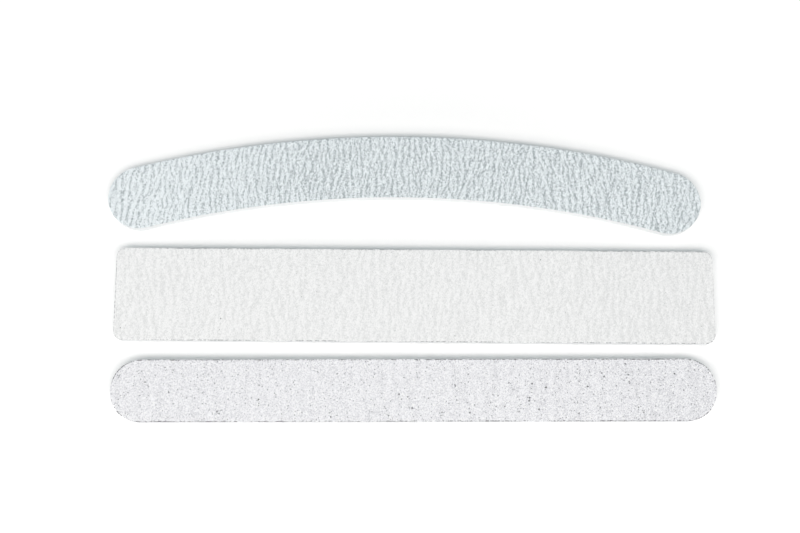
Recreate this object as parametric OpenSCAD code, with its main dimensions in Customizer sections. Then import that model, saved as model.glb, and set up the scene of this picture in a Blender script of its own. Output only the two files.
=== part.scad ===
// A set of three nail boards as they lie on a table: a wide board with rounded corners, a
// straight board with round ends, and a board curved in its own plane. Each is a die-cut
// sandwich: a stiff strip in the middle, and on each side a foam cushion and coated abrasive
// paper, held by thin films of adhesive. X runs along the boards, Z is up, and the origin is
// the middle of the wide board's underside.

/* [Wide board] */
// Length of the wide board
wide_l = 178; // [120:1:230]
// Width of the wide board
wide_w = 27.8; // [20:0.1:40]
// Radius of the wide board's corners
wide_corner_r = 2.8; // [0.5:0.1:9]

/* [Straight board] */
// Length of the straight board over its round ends
straight_l = 178; // [120:1:230]
// Width of the straight board
straight_w = 18.4; // [12:0.1:28]

/* [Curved board] */
// Length of the curved board from tip to tip
curved_l = 178.4; // [120:0.1:230]
// Width of the curved board's band
curved_w = 18.9; // [12:0.1:28]
// Radius of the curved board's centre line
curve_r = 311; // [180:1:600]

/* [Layers] */
// Thickness of the stiff strip in the middle
core_t = 0.8; // [0.4:0.1:2]
// Thickness of each foam cushion
foam_t = 1.0; // [0.3:0.1:2.5]
// Thickness of each adhesive film
film_t = 0.1; // [0.06:0.02:0.2]
// Thickness of the paper that carries the abrasive
paper_t = 0.2; // [0.1:0.05:0.4]
// Thickness of the abrasive coat, from the paper to the grain tips
grit_t = 0.2; // [0.1:0.05:0.4]

/* [Layout] */
// Gap between the wide board and the straight board in front of it
front_gap = 5.1; // [3:0.1:30]
// Gap between the wide board and the tips of the curved board behind it
rear_gap = 5.7; // [3:0.1:30]
// How far the straight board lies along the wide one
straight_shift = -0.15; // [-20:0.05:20]
// How far the curved board lies along the wide one
curved_shift = -3.15; // [-20:0.05:20]
// Turn of the straight board in the plane of the table, in degrees
straight_turn = 0.5; // [-1:0.1:1]
// Turn of the curved board in the plane of the table, in degrees
curved_turn = -0.2; // [-1:0.05:1]

/* [Hidden] */
$fn = 96;

// Heights of the layers' undersides, from the table up
lower_grit_z = 0;
lower_paper_z = lower_grit_z + grit_t;
lower_outer_film_z = lower_paper_z + paper_t;
lower_foam_z = lower_outer_film_z + film_t;
lower_inner_film_z = lower_foam_z + foam_t;
core_z = lower_inner_film_z + film_t;
upper_inner_film_z = core_z + core_t;
upper_foam_z = upper_inner_film_z + film_t;
upper_outer_film_z = upper_foam_z + foam_t;
upper_paper_z = upper_outer_film_z + film_t;
upper_grit_z = upper_paper_z + paper_t;

// Half the angle that the curved board's centre line spans, and how far its ends fall
// behind the top of the arc
curve_half_angle = asin((curved_l - curved_w) / 2 / curve_r);
curve_drop = curve_r * (1 - cos(curve_half_angle));

// Places of the straight board's middle and of the top of the curved board's centre line
straight_y = -(wide_w / 2 + front_gap + straight_w / 2);
curved_y = wide_w / 2 + rear_gap + curved_w / 2 + curve_drop;

// Finishes, as the boards show them
wide_grit_c = [0.93, 0.94, 0.93];
straight_grit_c = [0.91, 0.91, 0.92];
curved_grit_c = [0.83, 0.86, 0.88];
paper_c = [0.80, 0.79, 0.76];
film_c = [0.93, 0.91, 0.84];
foam_c = [0.97, 0.97, 0.96];
core_c = [0.90, 0.91, 0.92];

// Outline of the wide board: a rectangle with round corners
module wide_outline() {
    corner_x = wide_l / 2 - wide_corner_r;
    corner_y = wide_w / 2 - wide_corner_r;
    square([wide_l, 2 * corner_y], center = true);
    square([2 * corner_x, wide_w], center = true);
    for (x = [-corner_x, corner_x], y = [-corner_y, corner_y])
        translate([x, y]) circle(r = wide_corner_r);
}

// Outline of the straight board: a bar with half-round ends
module straight_outline() {
    end_x = (straight_l - straight_w) / 2;
    square([2 * end_x, straight_w], center = true);
    for (x = [-end_x, end_x])
        translate([x, 0]) circle(d = straight_w);
}

// Outline of the curved board: a band along an arc, with half-round ends. The top of the
// arc is at the origin, and its centre lies straight in front of it.
module curved_outline() {
    outer_r = curve_r + curved_w / 2;
    reach = 2 * outer_r;
    translate([0, -curve_r]) {
        intersection() {
            difference() {
                circle(r = outer_r);
                circle(r = curve_r - curved_w / 2);
            }
            polygon([
                [0, 0],
                [-reach * sin(curve_half_angle), reach * cos(curve_half_angle)],
                [reach * sin(curve_half_angle), reach * cos(curve_half_angle)]
            ]);
        }
        for (side = [-1, 1])
            rotate(side * curve_half_angle) translate([0, curve_r]) circle(d = curved_w);
    }
}

// One layer of a board: its outline, from height z up
module layer(z, thickness) {
    translate([0, 0, z]) linear_extrude(height = thickness) children();
}

module wide_layer(z, thickness) {
    layer(z, thickness) wide_outline();
}

module straight_layer(z, thickness) {
    translate([straight_shift, straight_y, 0]) rotate(straight_turn)
        layer(z, thickness) straight_outline();
}

module curved_layer(z, thickness) {
    translate([curved_shift, curved_y, 0]) rotate(curved_turn)
        layer(z, thickness) curved_outline();
}

// The wide board's layers, from the table up
module wide_lower_grit() { color(wide_grit_c) wide_layer(lower_grit_z, grit_t); }
module wide_lower_paper() { color(paper_c) wide_layer(lower_paper_z, paper_t); }
module wide_lower_outer_film() { color(film_c) wide_layer(lower_outer_film_z, film_t); }
module wide_lower_foam() { color(foam_c) wide_layer(lower_foam_z, foam_t); }
module wide_lower_inner_film() { color(film_c) wide_layer(lower_inner_film_z, film_t); }
module wide_core() { color(core_c) wide_layer(core_z, core_t); }
module wide_upper_inner_film() { color(film_c) wide_layer(upper_inner_film_z, film_t); }
module wide_upper_foam() { color(foam_c) wide_layer(upper_foam_z, foam_t); }
module wide_upper_outer_film() { color(film_c) wide_layer(upper_outer_film_z, film_t); }
module wide_upper_paper() { color(paper_c) wide_layer(upper_paper_z, paper_t); }
module wide_upper_grit() { color(wide_grit_c) wide_layer(upper_grit_z, grit_t); }

// The straight board's layers, from the table up
module straight_lower_grit() { color(straight_grit_c) straight_layer(lower_grit_z, grit_t); }
module straight_lower_paper() { color(paper_c) straight_layer(lower_paper_z, paper_t); }
module straight_lower_outer_film() { color(film_c) straight_layer(lower_outer_film_z, film_t); }
module straight_lower_foam() { color(foam_c) straight_layer(lower_foam_z, foam_t); }
module straight_lower_inner_film() { color(film_c) straight_layer(lower_inner_film_z, film_t); }
module straight_core() { color(core_c) straight_layer(core_z, core_t); }
module straight_upper_inner_film() { color(film_c) straight_layer(upper_inner_film_z, film_t); }
module straight_upper_foam() { color(foam_c) straight_layer(upper_foam_z, foam_t); }
module straight_upper_outer_film() { color(film_c) straight_layer(upper_outer_film_z, film_t); }
module straight_upper_paper() { color(paper_c) straight_layer(upper_paper_z, paper_t); }
module straight_upper_grit() { color(straight_grit_c) straight_layer(upper_grit_z, grit_t); }

// The curved board's layers, from the table up
module curved_lower_grit() { color(curved_grit_c) curved_layer(lower_grit_z, grit_t); }
module curved_lower_paper() { color(paper_c) curved_layer(lower_paper_z, paper_t); }
module curved_lower_outer_film() { color(film_c) curved_layer(lower_outer_film_z, film_t); }
module curved_lower_foam() { color(foam_c) curved_layer(lower_foam_z, foam_t); }
module curved_lower_inner_film() { color(film_c) curved_layer(lower_inner_film_z, film_t); }
module curved_core() { color(core_c) curved_layer(core_z, core_t); }
module curved_upper_inner_film() { color(film_c) curved_layer(upper_inner_film_z, film_t); }
module curved_upper_foam() { color(foam_c) curved_layer(upper_foam_z, foam_t); }
module curved_upper_outer_film() { color(film_c) curved_layer(upper_outer_film_z, film_t); }
module curved_upper_paper() { color(paper_c) curved_layer(upper_paper_z, paper_t); }
module curved_upper_grit() { color(curved_grit_c) curved_layer(upper_grit_z, grit_t); }

wide_lower_grit();
wide_lower_paper();
wide_lower_outer_film();
wide_lower_foam();
wide_lower_inner_film();
wide_core();
wide_upper_inner_film();
wide_upper_foam();
wide_upper_outer_film();
wide_upper_paper();
wide_upper_grit();
straight_lower_grit();
straight_lower_paper();
straight_lower_outer_film();
straight_lower_foam();
straight_lower_inner_film();
straight_core();
straight_upper_inner_film();
straight_upper_foam();
straight_upper_outer_film();
straight_upper_paper();
straight_upper_grit();
curved_lower_grit();
curved_lower_paper();
curved_lower_outer_film();
curved_lower_foam();
curved_lower_inner_film();
curved_core();
curved_upper_inner_film();
curved_upper_foam();
curved_upper_outer_film();
curved_upper_paper();
curved_upper_grit();
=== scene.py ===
import math
import random

import bmesh
import bpy
import numpy
from mathutils import Matrix, Vector, noise


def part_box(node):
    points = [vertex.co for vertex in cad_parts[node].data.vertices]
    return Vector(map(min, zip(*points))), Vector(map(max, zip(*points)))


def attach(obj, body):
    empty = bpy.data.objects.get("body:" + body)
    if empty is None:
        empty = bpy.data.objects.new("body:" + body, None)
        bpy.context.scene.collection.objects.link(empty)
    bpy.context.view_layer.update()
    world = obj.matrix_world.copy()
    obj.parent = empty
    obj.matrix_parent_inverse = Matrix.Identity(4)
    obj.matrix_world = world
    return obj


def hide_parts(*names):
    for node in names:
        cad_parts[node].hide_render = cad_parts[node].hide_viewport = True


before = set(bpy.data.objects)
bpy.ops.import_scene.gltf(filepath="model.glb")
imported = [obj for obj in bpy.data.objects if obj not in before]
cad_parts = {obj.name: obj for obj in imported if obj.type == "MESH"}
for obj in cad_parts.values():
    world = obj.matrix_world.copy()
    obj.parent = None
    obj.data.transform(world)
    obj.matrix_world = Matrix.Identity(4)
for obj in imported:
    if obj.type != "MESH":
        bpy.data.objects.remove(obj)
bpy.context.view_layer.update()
mm = 0.001

# Plan of each board, in millimetres and degrees. Length is from tip to tip, and bend is the radius
# of the centre line. Below, u runs along a board and v across it, before it is bent.
boards = {
    "wide": {"length": 178.0, "width": 27.8, "endRadius": 2.8, "bend": 0.0, "turn": 0.0},
    "straight": {"length": 178.0, "width": 18.4, "endRadius": 9.2, "bend": 0.0, "turn": 0.5},
    "curved": {"length": 178.4, "width": 18.9, "endRadius": 9.45, "bend": 311.0, "turn": -0.2},
}
tipTrim = 0.01  # keeps the bent board's tips inside its CAD solid


# Adds where a board lies on the table, from the box of its core.
def settleBoard(name, board):
    low, high = (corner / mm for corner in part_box(name + "_core"))
    board["turn"] = math.radians(board["turn"])
    board["x"] = (low.x + high.x) / 2
    board["y"] = (low.y + high.y) / 2
    if board["bend"]:
        bend = board["bend"]
        halfSpan = (board["length"] - board["width"]) / 2
        halfAngle = math.asin(halfSpan / bend)
        board["arc"] = bend * halfAngle  # centre line from its middle to the end's centre
        board["length"] = 2 * board["arc"] + board["width"] - tipTrim  # along the centre line
        board["x"] += bend * math.cos(halfAngle) * math.sin(board["turn"])
        board["x"] -= bend * math.sin(board["turn"])
        centreY = high.y - board["width"] / 2 - bend  # centre of the bend
        board["y"] = centreY + bend * math.cos(board["turn"])


# Pulls the corner squares of a flat grid in to quarter circles.
def roundEnds(board, u, v):
    r = board["endRadius"]
    innerU = board["length"] / 2 - r
    innerV = board["width"] / 2 - r
    s = (abs(u) - innerU) / r
    t = (abs(v) - innerV) / r
    if s <= 0 or t <= 0:
        return u, v
    roundU = innerU + r * s * math.sqrt(1 - t * t / 2)
    roundV = innerV + r * t * math.sqrt(1 - s * s / 2)
    return math.copysign(roundU, u), math.copysign(roundV, v)


# How far a point lies past the centre of the nearest round corner, along and across.
def pastCorner(board, u, v):
    r = board["endRadius"]
    return abs(u) - board["length"] / 2 + r, abs(v) - board["width"] / 2 + r


# How far inside the outline a point lies.
def edgeDistance(board, u, v):
    qu, qv = pastCorner(board, u, v)
    outside = math.hypot(max(qu, 0), max(qv, 0))
    return board["endRadius"] - outside - min(max(qu, qv), 0)


# How dark the cut edge is: in full along the sides, endCut at the left and the right end.
def darkShare(board, p, u, v):
    qu, qv = pastCorner(board, u, v)
    sideShare = qv / math.hypot(qu, qv) if qu > 0 and qv > 0 else float(qv > qu)
    end = p["endCut"][0 if u < 0 else 1]
    return end + (1 - end) * sideShare


# Bends the plan about the middle of its centre line. The round ends stay as they are.
def bendPlan(board, u, v):
    if not board["bend"]:
        return u, v
    angle = math.copysign(min(abs(u), board["arc"]) / board["bend"], u)
    beyond = math.copysign(max(abs(u) - board["arc"], 0), u)
    x = (board["bend"] + v) * math.sin(angle) + beyond * math.cos(angle)
    y = (board["bend"] + v) * math.cos(angle) - beyond * math.sin(angle) - board["bend"]
    return x, y


def toTable(board, x, y):
    c = math.cos(board["turn"])
    s = math.sin(board["turn"])
    return board["x"] + c * x - s * y, board["y"] + s * x + c * y


def wave(x, y, seed):
    return noise.noise(Vector((x, y, seed)))


def clamp(value):
    return min(1.0, max(0.0, value))


print("frame loaded, boards:", ", ".join(boards))
for boardName, boardPlan in boards.items():
    settleBoard(boardName, boardPlan)


# Height map of a coat's cross ridges, from many short waves laid over each other. Where two of
# them meet out of step a ridge forks or ends.
class RidgeMap:
    cell = 0.2
    margin = 4.0  # waves also start this far outside the board
    reach = 2.4  # a wave is left out past this many of its own widths and lengths
    leanPatch = 28  # ridges within such a patch lean alike
    middle = 0.6  # mean height, where 1 is the coat's face
    spread = 0.24

    def __init__(self, p, low, high, seed):
        draw = random.Random(seed)
        self.low = low
        spanX = high[0] - low[0]
        spanY = high[1] - low[1]
        margin = self.margin
        columns = int(spanX / self.cell) + 2
        rows = int(spanY / self.cell) + 2
        sums = numpy.zeros((2, rows, columns))
        area = (spanX + 2 * margin) * (spanY + 2 * margin)
        for _ in range(int(p["wavesPerMm2"] * area)):
            x = draw.uniform(-margin, spanX + margin)
            y = draw.uniform(-margin, spanY + margin)
            length = p["shortest"] + (p["longest"] - p["shortest"]) * draw.random() ** 2
            drift = p["drift"] * wave(x / self.leanPatch, y / self.leanPatch, seed)
            lean = draw.gauss(drift, p["lean"])
            bow = draw.gauss(0, p["bow"])
            start = draw.uniform(0, 2 * math.pi)
            reachX = self.reach * p["width"] + 2 * length * abs(lean)
            reachY = self.reach * length
            left, right = (max(0, int((x + side * reachX) / self.cell)) for side in (-1, 1))
            near, far = (max(0, int((y + side * reachY) / self.cell)) for side in (-1, 1))
            right = min(columns, right + 1)
            far = min(rows, far + 1)
            if left >= right or near >= far:
                continue
            down = (numpy.arange(near, far) * self.cell - y)[:, None]
            across = (numpy.arange(left, right) * self.cell - x)[None]
            across = across + lean * down + bow * down * down
            strength = numpy.exp(-0.5 * ((across / p["width"]) ** 2 + (down / length) ** 2))
            phase = 2 * math.pi * across / p["pitch"] + start
            sums[0, near:far, left:right] += strength * numpy.cos(phase)
            sums[1, near:far, left:right] += strength * numpy.sin(phase)
        power = sums[0] ** 2 + sums[1] ** 2 + 1e-6  # never quite zero
        heights = sums[0] / power ** p["evenness"]
        heights /= heights.std()
        heights = -numpy.log1p(numpy.exp(-p["sharpness"] * heights))  # broad ridges, narrow valleys
        heights = (heights - heights.mean()) / heights.std()
        self.heights = numpy.clip(self.middle + self.spread * heights, 0, 1).tolist()

    def at(self, x, y):
        x = (x - self.low[0]) / self.cell
        y = (y - self.low[1]) / self.cell
        column, row = int(x), int(y)
        x -= column
        y -= row
        near, far = self.heights[row], self.heights[row + 1]
        front = near[column] * (1 - x) + near[column + 1] * x
        back = far[column] * (1 - x) + far[column + 1] * x
        return front * (1 - y) + back * y


def setSocket(tree, socket, value):
    if isinstance(value, bpy.types.NodeSocket):
        tree.links.new(value, socket)
    else:
        socket.default_value = value


def addNode(tree, kind, inputs=None, **settings):
    node = tree.nodes.new(kind)
    for key, value in settings.items():
        setattr(node, key, value)
    for key, value in (inputs or {}).items():
        setSocket(tree, node.inputs[key], value)
    return node


def mathNode(tree, operation, a, b=0.0, c=0.0, clampIt=False):
    node = addNode(tree, "ShaderNodeMath", {0: a, 1: b, 2: c}, operation=operation)
    node.use_clamp = clampIt
    return node.outputs[0]


def mixColours(tree, share, a, b):
    node = addNode(tree, "ShaderNodeMix", data_type="RGBA")
    for number, value in ((0, share), (6, a), (7, b)):  # 6 and 7 are its colour sockets
        setSocket(tree, node.inputs[number], value)
    return node.outputs[2]


def mapRange(tree, value, low, high, toLow=0.0, toHigh=1.0):
    inputs = {"Value": value, "From Min": low, "From Max": high, "To Min": toLow, "To Max": toHigh}
    return addNode(tree, "ShaderNodeMapRange", inputs).outputs["Result"]


def newMaterial(name):
    material = bpy.data.materials.new(name)
    material.use_nodes = True
    tree = material.node_tree
    shader = tree.nodes["Principled BSDF"]
    place = addNode(tree, "ShaderNodeTexCoord").outputs["Object"]
    return material, tree, shader, place


def attribute(tree, name):
    return addNode(tree, "ShaderNodeAttribute", attribute_name=name).outputs["Fac"]


def opaque(colour):
    return (*colour, 1.0)


def stretched(tree, place, scale):
    return addNode(tree, "ShaderNodeMapping", {"Vector": place, "Scale": scale}).outputs[0]


# Sizes of patterns are in millimetres.
def voronoi(tree, place, size):
    return addNode(tree, "ShaderNodeTexVoronoi", {"Vector": place, "Scale": 1 / (size * mm)})


def noiseTexture(tree, place, size, detail):
    inputs = {"Vector": place, "Scale": 1 / (size * mm), "Detail": detail}
    return addNode(tree, "ShaderNodeTexNoise", inputs).outputs["Fac"]


def splitColour(tree, colour):
    return addNode(tree, "ShaderNodeSeparateColor", {"Color": colour}).outputs


def addBump(tree, shader, height, strength, depth):
    inputs = {"Height": height, "Strength": strength, "Distance": depth * mm}
    bump = addNode(tree, "ShaderNodeBump", inputs)
    tree.links.new(bump.outputs["Normal"], shader.inputs["Normal"])


# 1 where the camera looks, also through gloss or glass, and 0 for light that falls on the boards.
def seenShare(tree):
    path = addNode(tree, "ShaderNodeLightPath").outputs
    seen = mathNode(tree, "ADD", path["Is Camera Ray"], path["Is Glossy Ray"])
    return mathNode(tree, "ADD", seen, path["Is Transmission Ray"], clampIt=True)


# Extrudes an open loop of edges to the height z. Gives the new loop and its points.
def extrudeWall(bm, edges, z):
    wall = bmesh.ops.extrude_edge_only(bm, edges=edges)["geom"]
    loop = [item for item in wall if isinstance(item, bmesh.types.BMEdge) and item.is_boundary]
    verts = [item for item in wall if isinstance(item, bmesh.types.BMVert)]
    for vert in verts:
        vert.co.z = z
    return loop, verts


def newObject(bm, name, material):
    mesh = bpy.data.meshes.new(name)
    bm.to_mesh(mesh)
    bm.free()
    mesh.materials.append(material)
    made = bpy.data.objects.new(name, mesh)
    bpy.context.scene.collection.objects.link(made)
    return made


# Abrasive coats, in millimetres. Ridge and valley are the colours at the top and the foot of the
# relief, the end pair is painted light falloff, how much lighter the left and the right end are
# painted than the middle, the pale flakes are pale grains and painted glints, and the cut values
# are for the dark line along the cut edge.
coats = {
    "wide": {
        "cell": 0.27, "depth": 0.06, "rimWidth": 0.4, "rimDrop": 0.08,
        "ridges": {"pitch": 2.2, "width": 0.6, "shortest": 0.12, "longest": 1.8, "lean": 0.12,
                   "drift": 0.2, "bow": 0.03, "wavesPerMm2": 2.0, "evenness": 0.4,
                   "sharpness": 0.6},
        "grainsPerMm": 2.0, "rimGrit": (0.06, 0.11), "gritShade": (0.55, 1.0),
        "specksBig": 6, "specksSmall": 60, "speckSize": (0.10, 0.15),
        "grain": 0.2, "grainLength": 0.3, "level": 0.6, "reliefShare": 0.6, "grainShare": 1.0,
        "ends": (0.03, -0.10), "ridge": (0.945, 0.947, 0.949), "valley": (0.725, 0.732, 0.733),
        "flake": 0.3, "darkFlakes": 0.002, "paleGlintFlakes": 0.02,
        "dark": (0.3, 0.31, 0.32), "paleGlint": (0.98, 0.98, 0.98), "grit": (0.10, 0.11, 0.12),
        "cutPatch": 0.5, "cutGaps": 0.46, "cutStart": 0.3, "cutDepth": 0.9, "endCut": (0.95, 0.5),
        "roughness": 0.85, "bump": 0.15,
    },
    "straight": {
        "cell": 0.22, "depth": 0.09, "rimWidth": 0.4, "rimDrop": 0.08,
        "ridges": {"pitch": 3.6, "width": 1.2, "shortest": 1.5, "longest": 6.0, "lean": 0.05,
                   "drift": 0.2, "bow": 0.01, "wavesPerMm2": 0.7, "evenness": 0.2,
                   "sharpness": 0.5},
        "grainsPerMm": 4.0, "rimGrit": (0.12, 0.21), "gritShade": (0.8, 1.0),
        "specksBig": 70, "specksSmall": 370, "speckSize": (0.14, 0.20),
        "grain": 0.16, "grainLength": 0.16, "level": 0.75, "reliefShare": 0.3, "grainShare": 1.9,
        "ends": (0.0, -0.14), "ridge": (0.968, 0.968, 0.992), "valley": (0.583, 0.585, 0.616),
        "flake": 0.34, "darkFlakes": 0.03, "paleGlintFlakes": 0.08,
        "dark": (0.10, 0.10, 0.12), "paleGlint": (1.0, 1.0, 1.0), "grit": (0.04, 0.04, 0.05),
        "cutPatch": 0.35, "cutGaps": 0.5, "cutStart": 0.2, "cutDepth": 0.95, "endCut": (0.3, 0.3),
        "roughness": 0.8, "bump": 0.3,
    },
    "curved": {
        "cell": 0.2, "depth": 0.12, "rimWidth": 0.4, "rimDrop": 0.1,
        "ridges": {"pitch": 1.62, "width": 0.6, "shortest": 0.44, "longest": 5.0, "lean": 0.18,
                   "drift": 0.4, "bow": 0.02, "wavesPerMm2": 1.5, "evenness": 0.4,
                   "sharpness": 1.0},
        "grainsPerMm": 0.6, "rimGrit": (0.06, 0.11), "gritShade": (0.55, 1.0),
        "specksBig": 0, "specksSmall": 0, "speckSize": (0.1, 0.15),
        "grain": 0.18, "grainLength": 0.24, "level": 0.65, "reliefShare": 1.18, "grainShare": 1.6,
        "ends": (0.23, 0.04), "ridge": (0.895, 0.948, 0.974), "valley": (0.345, 0.39, 0.413),
        "flake": 0.3, "darkFlakes": 0.004, "paleGlintFlakes": 0.01,
        "dark": (0.16, 0.20, 0.22), "paleGlint": (0.96, 0.98, 1.0), "grit": (0.12, 0.15, 0.17),
        "cutPatch": 0.5, "cutGaps": 0.5, "cutStart": 0.4, "cutDepth": 0.2, "endCut": (0.5, 0.5),
        "roughness": 0.8, "bump": 0.3,
    },
}

# What the three coats share: their finish, their cut edge and their loose grains
# The first two set the span of the painted light falloff, in millimetres from a board's middle.
coatFinish = {"endsFrom": 30, "endsTo": 80, "flakeSize": 0.5, "gapSoftness": 0.08,
              "cutSoftness": 0.2, "smoother": 0.15, "rougher": 0.1, "specular": 0.3}
cutEdge = {"chip": 0.5, "chipMean": 0.75, "chipSpread": 0.9, "chipSeed": 40,
           "patch": 13, "patchMean": 0.75, "patchSpread": 1.5, "patchSeed": 7,
           "sideRow": 3, "wallRim": 0.6}
looseGrit = {"rimHeight": 0.1, "rimJitter": 0.06, "rimPatch": 3.5, "rimSeed": 31.0,
             "rimGaps": (-0.45, 0.25), "speckHeight": 0.06, "speckInset": 0.5, "bigger": 1.7,
             "evenShare": 0.7, "crowdedAt": 0.42, "narrowest": 0.7}
coatSeeds = {"upper": 3.7, "lower": 27.1}
coatSeedStep = 50  # from one board to the next


# Ridge colours from the modelled relief, one tone per grain, painted light falloff at the ends,
# pale flakes that are pale grains and painted glints, dark flakes, dark cut edge.
def coatMaterial(name, p):
    material, tree, shader, place = newMaterial(name)
    relief = attribute(tree, "relief")
    rim = attribute(tree, "rim")
    grit = attribute(tree, "grit")
    grainPlace = stretched(tree, place, (1, p["grain"] / p["grainLength"], 1))
    grains = voronoi(tree, grainPlace, p["grain"])
    tone = splitColour(tree, grains.outputs["Color"])
    middleLevel = p["level"] - RidgeMap.middle * p["reliefShare"]
    level = mathNode(tree, "MULTIPLY_ADD", relief, p["reliefShare"], middleLevel)
    level = mathNode(tree, "MULTIPLY_ADD", tone["Red"], p["grainShare"], level)
    # Painted light falloff: the ends painted lighter and darker than the middle by the end pair
    along = addNode(tree, "ShaderNodeSeparateXYZ", {"Vector": place}).outputs["X"]
    start, end = coatFinish["endsFrom"] * mm, coatFinish["endsTo"] * mm
    level = mathNode(tree, "ADD", level, mapRange(tree, along, -end, -start, p["ends"][0], 0))
    level = mathNode(tree, "ADD", level, mapRange(tree, along, start, end, 0, p["ends"][1]))
    level = mathNode(tree, "SUBTRACT", level, p["grainShare"] / 2, clampIt=True)
    colour = mixColours(tree, level, opaque(p["valley"]), opaque(p["ridge"]))
    flakes = voronoi(tree, place, p["flake"])
    pick = splitColour(tree, flakes.outputs["Color"])
    inFlake = mathNode(tree, "LESS_THAN", flakes.outputs["Distance"], coatFinish["flakeSize"])
    # Pale flakes: pale grains, with painted glints of the grit crystals
    paleGlint = mathNode(tree, "GREATER_THAN", pick["Green"], 1 - p["paleGlintFlakes"])
    paleGlint = mathNode(tree, "MULTIPLY", paleGlint, inFlake)
    colour = mixColours(tree, paleGlint, colour, opaque(p["paleGlint"]))
    dark = mathNode(tree, "GREATER_THAN", pick["Red"], 1 - p["darkFlakes"])
    dark = mathNode(tree, "MULTIPLY", mathNode(tree, "MULTIPLY", dark, inFlake), pick["Blue"])
    colour = mixColours(tree, dark, colour, opaque(p["dark"]))
    patches = noiseTexture(tree, place, p["cutPatch"], 2.0)
    cut = mapRange(tree, patches, p["cutGaps"], p["cutGaps"] + coatFinish["gapSoftness"])
    worn = mapRange(tree, rim, p["cutStart"], p["cutStart"] + coatFinish["cutSoftness"])
    cut = mathNode(tree, "MULTIPLY", cut, worn)
    cut = mathNode(tree, "MULTIPLY", cut, p["cutDepth"])
    colour = mixColours(tree, cut, colour, opaque(p["dark"]))
    colour = mixColours(tree, grit, colour, opaque(p["grit"]))
    tree.links.new(colour, shader.inputs["Base Color"])
    smoothest = p["roughness"] - coatFinish["smoother"]
    roughest = p["roughness"] + coatFinish["rougher"]
    roughness = mapRange(tree, tone["Blue"], 0, 1, smoothest, roughest)
    tree.links.new(roughness, shader.inputs["Roughness"])
    shader.inputs["Specular IOR Level"].default_value = coatFinish["specular"]
    height = mathNode(tree, "MULTIPLY", grains.outputs["Distance"], -1.0)
    addBump(tree, shader, height, p["bump"], p["grain"])
    return material


# Small dark grains: along the cut edge all round, and a few loose on the face.
def makeGrit(board, p, z, outward, draw):
    bm = bmesh.new()
    tone = bm.verts.layers.float.new("grit")
    length = board["length"]
    width = board["width"]
    perimeter = 2 * (length + width)
    spots = []
    for _ in range(int(perimeter * p["grainsPerMm"])):
        size = draw.uniform(*p["rimGrit"])
        along = draw.random() * perimeter / 2
        side = draw.choice((-1, 1))
        if along < length:
            u, v = along - length / 2, side * width / 2
        else:
            u, v = side * length / 2, along - length - width / 2
        inset = size + draw.random() * looseGrit["rimJitter"]
        patch = looseGrit["rimPatch"]
        crowd = wave(u / patch, v / patch + side, looseGrit["rimSeed"])
        if crowd < draw.uniform(*looseGrit["rimGaps"]):
            continue
        shrinkU = 1 - 2 * inset / length
        shrinkV = 1 - 2 * inset / width
        u, v = roundEnds(board, u * shrinkU, v * shrinkV)
        if draw.random() < darkShare(board, p, u, v):
            spots.append((u, v, size, looseGrit["rimHeight"]))
    for number in range(p["specksBig"] + p["specksSmall"]):
        if draw.random() < looseGrit["evenShare"]:
            u = draw.uniform(-0.5, 0.5) * length
        else:
            u = draw.triangular(0, 0.5, looseGrit["crowdedAt"]) * length  # towards the right end
        v = draw.uniform(-0.5, 0.5) * width
        if edgeDistance(board, u, v) > looseGrit["speckInset"]:
            bigger = looseGrit["bigger"] if number < p["specksBig"] else 1
            size = bigger * draw.uniform(*p["speckSize"])
            spots.append((u, v, size, looseGrit["speckHeight"]))
    for u, v, size, height in spots:
        x, y = toTable(board, *bendPlan(board, u, v))
        turn = Matrix.Rotation(draw.uniform(0, 2 * math.pi), 4, "Z")
        narrow = draw.uniform(looseGrit["narrowest"], 1)
        flat = Matrix.Diagonal((size, size * narrow, height, 1))
        place = Matrix.Translation((x, y, z - outward * height)) @ turn @ flat
        made = bmesh.ops.create_icosphere(bm, subdivisions=1, radius=1.0, matrix=place)
        shade = draw.uniform(*p["gritShade"])
        for vert in made["verts"]:
            vert[tone] = shade
    mesh = bpy.data.meshes.new("grit")
    bm.to_mesh(mesh)
    bm.free()
    return mesh


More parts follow.
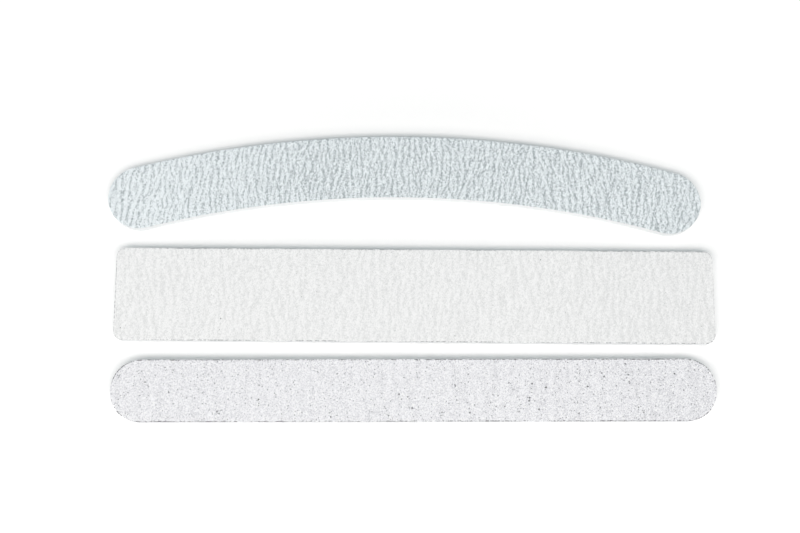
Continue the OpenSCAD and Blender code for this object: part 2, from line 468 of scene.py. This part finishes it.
def makeCoat(boardName, side, seed):
    board = boards[boardName]
    p = coats[boardName]
    node = boardName + "_" + side + "_grit"
    low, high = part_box(node)
    outward = 1 if side == "upper" else -1
    faceZ = (high.z if side == "upper" else low.z) / mm
    backZ = (low.z if side == "upper" else high.z) / mm
    bm = bmesh.new()
    across = round(board["width"] / p["cell"])
    along = round(board["length"] / p["cell"])
    bmesh.ops.create_grid(bm, x_segments=along, y_segments=across, size=1)
    relief = bm.verts.layers.float.new("relief")
    rim = bm.verts.layers.float.new("rim")
    ridges = RidgeMap(p["ridges"], [low.x / mm, low.y / mm], [high.x / mm, high.y / mm], seed)
    for vert in bm.verts:
        u, v = roundEnds(board, vert.co.x * board["length"] / 2, vert.co.y * board["width"] / 2)
        x, y = toTable(board, *bendPlan(board, u, v))
        height = ridges.at(x, y)
        worn = clamp(1 - edgeDistance(board, u, v) / p["rimWidth"])
        chips = wave(u / cutEdge["chip"], v / cutEdge["chip"], seed + cutEdge["chipSeed"])
        chips = cutEdge["chipMean"] + cutEdge["chipSpread"] * chips
        drop = p["depth"] * (1 - height)
        drop += p["rimDrop"] * worn * worn * chips
        vert.co = (x, y, faceZ - outward * max(drop, 0))
        vert[relief] = height
        row = math.copysign(cutEdge["sideRow"], v)  # each long side has patches of its own
        patches = wave(u / cutEdge["patch"], row, seed + cutEdge["patchSeed"])
        patches = clamp(cutEdge["patchMean"] + cutEdge["patchSpread"] * patches)
        vert[rim] = worn * darkShare(board, p, u, v) * patches
    for face in bm.faces:
        face.smooth = True
    outline = [edge for edge in bm.edges if edge.is_boundary]
    for edge in outline:
        edge.smooth = False
    backLoop, backVerts = extrudeWall(bm, outline, backZ)
    for vert in backVerts:
        vert[rim] = max(vert[rim], cutEdge["wallRim"])
    bmesh.ops.edgeloop_fill(bm, edges=backLoop)
    bmesh.ops.recalc_face_normals(bm, faces=bm.faces)
    grit = makeGrit(board, p, faceZ, outward, random.Random(seed))
    bm.from_mesh(grit)
    bpy.data.meshes.remove(grit)
    bmesh.ops.scale(bm, verts=bm.verts, vec=(mm, mm, mm))
    piece = newObject(bm, node + "_face", bpy.data.materials[boardName + "Coat"])
    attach(piece, boardName + "_board")
    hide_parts(node)
    print("coat", node, len(piece.data.polygons), "faces")


for boardName, values in coats.items():
    coatMaterial(boardName + "Coat", values)
for number, boardName in enumerate(boards):
    for side, seed in coatSeeds.items():
        makeCoat(boardName, side, seed + coatSeedStep * number)

# Layers between the coats, as the cut edge shows them. Flat squeezes a layer's pattern in height.
layers = {
    "paper": {"colour": (0.90, 0.91, 0.905), "second": (0.79, 0.80, 0.79),
              "grain": 0.35, "flat": 3.0, "roughness": 0.85, "bump": 0.35, "cutMarks": 0.12},
    "film": {"colour": (0.89, 0.89, 0.87), "second": (0.79, 0.79, 0.76),
             "grain": 0.9, "flat": 2.0, "roughness": 0.35, "bump": 0.2, "cutMarks": 0.05},
    "foam": {"colour": (0.94, 0.96, 0.967), "second": (0.83, 0.85, 0.857),
             "grain": 0.16, "flat": 1.0, "roughness": 0.9, "bump": 0.6, "cutMarks": 0.0},
    "core": {"colour": (0.87, 0.885, 0.905), "second": (0.78, 0.795, 0.825),
             "grain": 0.5, "flat": 0.25, "roughness": 0.45, "bump": 0.15, "cutMarks": 0.3},
}
layerFinish = {"uneven": (0.35, 0.7), "pores": (0.25, 0.75), "smears": (0.3, 0.7),
               "smearStep": 0.1, "knifePitch": 0.3, "knifeTall": 0.06, "knifeShare": 3,
               "bumpDepth": 0.1}


# Cell walls for foam, fibres and smears for the rest, and upright knife marks on what was cut.
def layerMaterial(name, p):
    material, tree, shader, place = newMaterial(name)
    scaled = stretched(tree, place, (1, 1, p["flat"]))
    spots = noiseTexture(tree, scaled, p["grain"], 3.0)
    cells = voronoi(tree, scaled, p["grain"])
    uneven = mapRange(tree, spots, *layerFinish["uneven"])
    pores = mapRange(tree, cells.outputs["Distance"], *layerFinish["pores"])
    share = mathNode(tree, "MULTIPLY", uneven, pores)
    colour = mixColours(tree, share, opaque(p["colour"]), opaque(p["second"]))
    tree.links.new(colour, shader.inputs["Base Color"])
    upright = stretched(tree, place, (1, 1, layerFinish["knifeTall"]))
    marks = noiseTexture(tree, upright, layerFinish["knifePitch"], 2.0)
    markDepth = p["cutMarks"] * layerFinish["knifeShare"]
    height = mathNode(tree, "MULTIPLY_ADD", marks, markDepth, pores)
    addBump(tree, shader, height, p["bump"], layerFinish["bumpDepth"])
    step = layerFinish["smearStep"]
    smears = (*layerFinish["smears"], p["roughness"] - step, p["roughness"] + step)
    tree.links.new(mapRange(tree, spots, *smears), shader.inputs["Roughness"])
    return material


layerLooks = {name: layerMaterial(name + "Look", values) for name, values in layers.items()}
for nodeName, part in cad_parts.items():
    kind = nodeName.rsplit("_", 1)[1]
    if kind in layers and kind != "foam":
        part.data.materials.clear()
        part.data.materials.append(layerLooks[kind])
print("layers given their materials:", ", ".join(layers))

# Foam sheets, in millimetres. Rows are where the wall is cut into strips, as shares of its height.
foams = {"cell": 0.5, "rows": (0.1, 0.28, 0.5, 0.72, 0.9, 1.0), "hollow": 0.07, "hollowPatch": 6,
         "uneven": 0.05, "unevenSize": 0.7, "unevenHeight": 0.4, "atEdge": 0.01}
foamSeeds = {"lower": 5.2, "upper": 9.6}
foamSeedStep = 30  # from one board to the next


# How far the wall lies behind the outline. Row is 0 at its foot and 1 at its top.
def wallInset(u, v, z, row, seed):
    patch, size = foams["hollowPatch"], foams["unevenSize"]
    inset = foams["hollow"] * math.sin(math.pi * row) * (1 + wave(u / patch, v / patch, seed))
    bumps = 0.5 + wave(u / size, v / size, z / foams["unevenHeight"] + seed)
    inset += foams["uneven"] * bumps * min(1, 4 * row * (1 - row))
    return max(inset, 0)


# Foam sheet: flat where it is glued, its knife-cut wall a little hollow and never quite straight.
def makeFoam(boardName, side, seed):
    board = boards[boardName]
    node = boardName + "_" + side + "_foam"
    low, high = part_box(node)
    base = low.z / mm
    thickness = (high.z - low.z) / mm
    bm = bmesh.new()
    along, across = (round(board[key] / foams["cell"]) for key in ("length", "width"))
    bmesh.ops.create_grid(bm, x_segments=along, y_segments=across, size=1)
    for vert in bm.verts:
        u, v = roundEnds(board, vert.co.x * board["length"] / 2, vert.co.y * board["width"] / 2)
        vert.co = (u, v, base)
    edges = [edge for edge in bm.edges if edge.is_boundary]
    for row in foams["rows"]:
        edges, _ = extrudeWall(bm, edges, base + row * thickness)
    bmesh.ops.edgeloop_fill(bm, edges=edges)
    for vert in bm.verts:
        u, v, z = vert.co
        if edgeDistance(board, u, v) < foams["atEdge"]:
            inset = wallInset(u, v, z, (z - base) / thickness, seed)
            u *= 1 - 2 * inset / board["length"]
            v *= 1 - 2 * inset / board["width"]
        vert.co.x, vert.co.y = toTable(board, *bendPlan(board, u, v))
    bmesh.ops.recalc_face_normals(bm, faces=bm.faces)
    bmesh.ops.scale(bm, verts=bm.verts, vec=(mm, mm, mm))
    piece = newObject(bm, node + "_sheet", layerLooks["foam"])
    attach(piece, boardName + "_board")
    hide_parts(node)


for number, boardName in enumerate(boards):
    for side, seed in foamSeeds.items():
        makeFoam(boardName, side, seed + foamSeedStep * number)
print("foam sheets made")

# White table top, in metres, with below in millimetres. The camera sees a little light of its own
# in it, from lift near the boards to farLift round them and roomLift far out, so it reaches white.
tableTop = {"size": 6.0, "below": 0.02, "colour": (0.96, 0.96, 0.96), "oval": 0.72,
            "nearEnd": 0.058, "farStart": 0.085, "lift": 0.075, "farLift": 0.145,
            "roomStart": 0.16, "roomEnd": 0.6, "roomLift": 0.9}


def tableMaterial(name, p):
    material, tree, shader, place = newMaterial(name)
    tree.nodes.remove(shader)
    oval = stretched(tree, place, (p["oval"], 1, 1))
    far = addNode(tree, "ShaderNodeVectorMath", {0: oval}, operation="LENGTH").outputs["Value"]
    near = mapRange(tree, far, p["nearEnd"], p["farStart"], p["lift"], p["farLift"])
    beyond = mapRange(tree, far, p["roomStart"], p["roomEnd"], 0, p["roomLift"])
    lift = mathNode(tree, "MULTIPLY", seenShare(tree), mathNode(tree, "ADD", near, beyond))
    diffuse = addNode(tree, "ShaderNodeBsdfDiffuse", {"Color": opaque(p["colour"])})
    glow = addNode(tree, "ShaderNodeEmission", {"Strength": lift})
    both = addNode(tree, "ShaderNodeAddShader", {0: diffuse.outputs[0], 1: glow.outputs[0]})
    tree.links.new(both.outputs[0], tree.nodes["Material Output"].inputs["Surface"])
    return material


bm = bmesh.new()
bmesh.ops.create_grid(bm, x_segments=1, y_segments=1, size=tableTop["size"] / 2)
bmesh.ops.translate(bm, verts=bm.verts, vec=(0, 0, -tableTop["below"] * mm))
floor = newObject(bm, "tableTop", tableMaterial("tableWhite", tableTop))
print("table top made")

# A long strip lamp in front and a broad softer one under it, in metres and degrees
lamps = {
    "stripLamp": {"share": 0.632, "distance": 1.5, "elevation": 66, "aside": -0.13,
                  "size": (2.0, 0.46)},
    "broadLamp": {"share": 0.219, "distance": 1.6, "elevation": 49, "aside": -0.13,
                  "size": (2.0, 0.6)},
}
lampColour = (1.0, 0.94, 0.92)
for name, p in lamps.items():
    elevation = math.radians(p["elevation"])
    lampData = bpy.data.lights.new(name, "AREA")
    lampData.shape = "RECTANGLE"
    lampData.size, lampData.size_y = p["size"]
    lampData.color = lampColour
    lampData.energy = p["share"] * (math.pi * p["distance"]) ** 2 / math.sin(elevation)
    lamp = bpy.data.objects.new(name, lampData)
    forward = -math.cos(elevation) * p["distance"]
    lamp.location = (p["aside"], forward, math.sin(elevation) * p["distance"])
    lamp.rotation_euler = (math.pi / 2 - elevation, 0, 0)
    bpy.context.scene.collection.objects.link(lamp)

# An even bluish white room that lights the boards, and looks plain white to the camera
room = {"strength": 0.362, "colour": (0.88, 1.0, 1.02)}
world = bpy.data.worlds.new("room")
bpy.context.scene.world = world
world.use_nodes = True
tree = world.node_tree
background = tree.nodes["Background"].inputs
seen = seenShare(tree)
roomColour = mixColours(tree, seen, opaque(room["colour"]), (1, 1, 1, 1))
tree.links.new(roomColour, background["Color"])
tree.links.new(mapRange(tree, seen, 0, 1, room["strength"], 1.0), background["Strength"])

# Camera above the boards, a little in front of them, in millimetres and degrees
view = {"target": (-4.36, 9.49), "distance": 417.04, "tilt": 11.0, "turn": 0.4036,
        "lens": 62.32, "sensor": 36}
cameraData = bpy.data.cameras.new("camera")
cameraData.lens = view["lens"]
cameraData.sensor_width = view["sensor"]
camera = bpy.data.objects.new("camera", cameraData)
camera.rotation_euler = (math.radians(view["tilt"]), 0, math.radians(view["turn"]))
back = camera.rotation_euler.to_matrix() @ Vector((0, 0, view["distance"] * mm))
camera.location = Vector((*view["target"], 0)) * mm + back
bpy.context.scene.collection.objects.link(camera)
bpy.context.scene.camera = camera
bpy.context.scene.view_settings.view_transform = "Standard"
print("lamps, room and camera set")

print("scene made")
